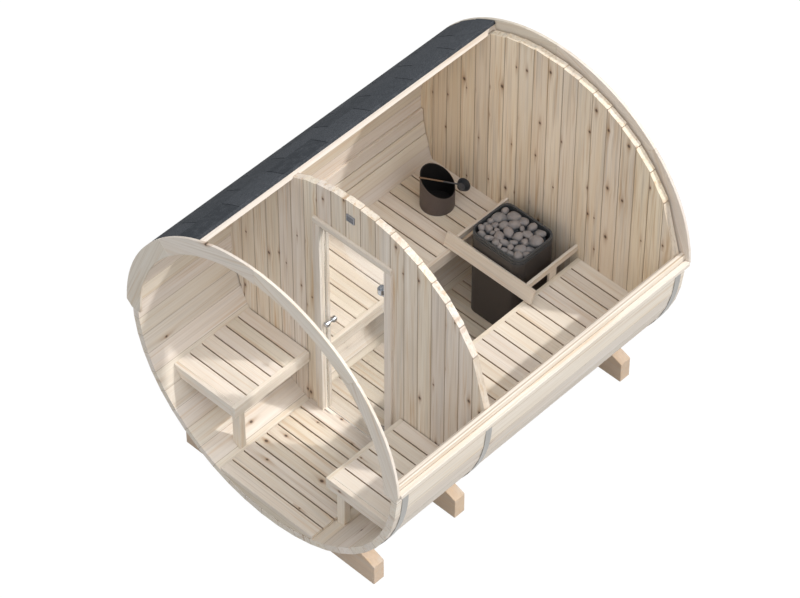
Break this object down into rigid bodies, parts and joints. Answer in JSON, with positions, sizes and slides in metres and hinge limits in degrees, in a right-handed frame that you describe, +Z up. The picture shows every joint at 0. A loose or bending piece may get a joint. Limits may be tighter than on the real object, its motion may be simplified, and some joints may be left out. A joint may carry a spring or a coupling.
{
  "type": "cutaway barrel sauna",
  "caption": "Barrel sauna of staves on cradles, shown with its roof cut open, with a porch, a glass door, benches, a stone-filled heater and its guard",
  "frame": {"origin": "centre of the footprint, on the ground under the cradles", "axes": "X to the right seen from the porch, Y from the porch to the rear wall, Z up"},
  "size_m": [2.0684, 2.334, 2.061],
  "materials": {
    "stave_wood": "planed softwood, unpainted, small brown knots",
    "panel_wood": "planed softwood boards, unpainted",
    "trim_wood": "planed softwood, unpainted",
    "bench_wood": "planed softwood slats, unpainted",
    "floor_wood": "planed softwood boards, unpainted",
    "cradle_wood": "sawn softwood, unpainted",
    "roofing_felt": "mineral-faced roofing felt, dark slate grey",
    "strap_steel": "thin steel band",
    "door_glass": "tempered glass, lightly tinted",
    "hinge_chrome": "polished",
    "heater_steel": "matt black heatproof paint",
    "heater_stone": "rounded grey stones",
    "bucket_black": "matt black",
    "ladle_metal": "grey metal with a wooden grip",
    "vent_metal": "dark grille"
  },
  "bodies": {
    "root": {"staves_right": "stave_wood", "staves_bottom": "stave_wood", "staves_left": "stave_wood", "staves_upper_left": "stave_wood", "partition_left": "panel_wood", "partition_right": "panel_wood", "partition_over_and_under_door": "panel_wood", "rear_wall": "panel_wood", "arch_front_left": "trim_wood", "arch_front_right": "trim_wood", "arch_rear_left": "trim_wood", "arch_rear_right": "trim_wood", "eaves_battens": "trim_wood", "door_casing": "trim_wood", "door_jamb": "trim_wood", "door_stops": "trim_wood", "threshold": "trim_wood", "bench_left_slats": "bench_wood", "bench_right_slats": "bench_wood", "bench_rails": "bench_wood", "bench_joists": "bench_wood", "porch_bench_left_slats": "bench_wood", "porch_bench_right_slats": "bench_wood", "porch_bench_rails": "bench_wood", "porch_bench_supports": "bench_wood", "backrest": "bench_wood", "guard_board": "bench_wood", "guard_rails": "bench_wood", "porch_floor": "floor_wood", "room_floor": "floor_wood", "floor_bearers": "floor_wood", "cradle_front": "cradle_wood", "cradle_middle": "cradle_wood", "cradle_rear": "cradle_wood", "roofing": "roofing_felt", "straps": "strap_steel", "hinge_pintles": "hinge_chrome", "heater_body": "heater_steel", "heater_stones": "heater_stone", "bucket": "bucket_black", "ladle": "ladle_metal", "vent_grille": "vent_metal"},
    "door": {"door_glass": "door_glass", "hinge_leaves": "hinge_chrome", "door_knobs": "hinge_chrome"}
  },
  "joints": [
    {"name": "door_hinge", "type": "hinge", "parent": "root", "child": "door", "pos_m": [0.214, -0.449, 0.9], "axis": [0, 0, 1], "range_deg": [0, 90]}
  ]
}
